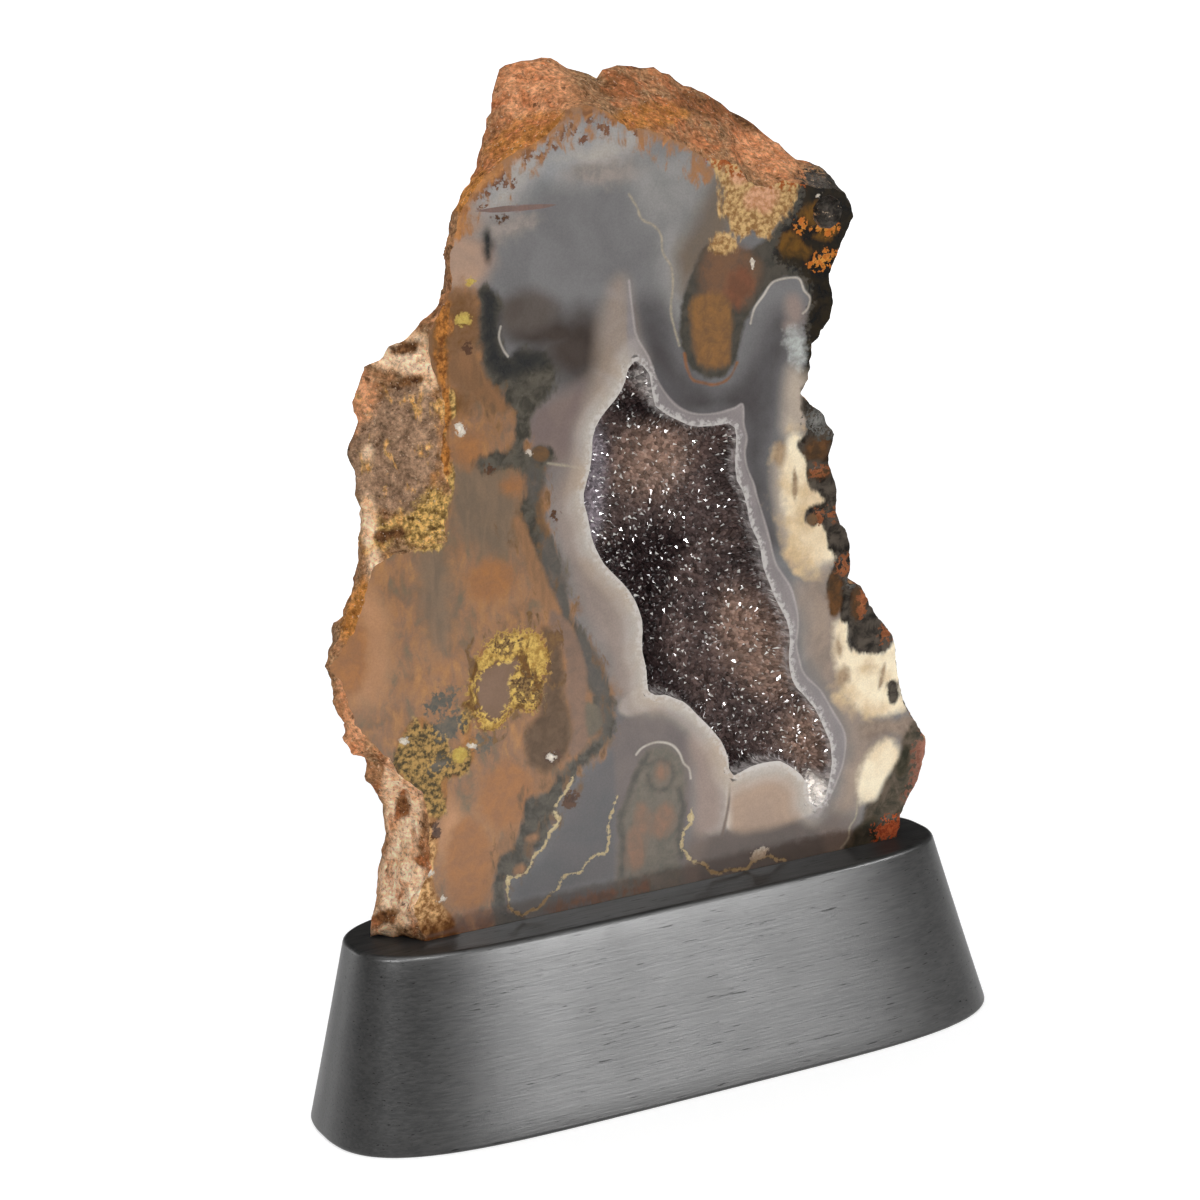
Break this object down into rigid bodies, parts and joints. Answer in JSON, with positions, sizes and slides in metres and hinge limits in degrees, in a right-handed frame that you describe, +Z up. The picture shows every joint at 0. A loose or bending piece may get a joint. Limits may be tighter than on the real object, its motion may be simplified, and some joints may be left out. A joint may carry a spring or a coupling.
{
  "type": "agate geode on stand",
  "caption": "Rough agate cut flat and polished in front, with a crystal-lined hollow in its face, standing upright on a low black wooden stand with rounded ends and sloping sides.",
  "frame": {"origin": "middle of the stand's underside", "axes": "+Z up, +X along the stand to the right of someone looking at the polished face, +Y from the polished face to the back"},
  "size_m": [0.1496, 0.0506, 0.2063],
  "materials": {
    "stand_wood": "satin black lacquer over fine grain",
    "agate": "polished on the cut face, matt and rough on the rind",
    "quartz": "small dark brown crystals with bright facets"
  },
  "bodies": {
    "root": {"wooden_stand": "stand_wood", "agate_stone": "agate", "quartz_druse": "quartz"}
  },
  "joints": []
}
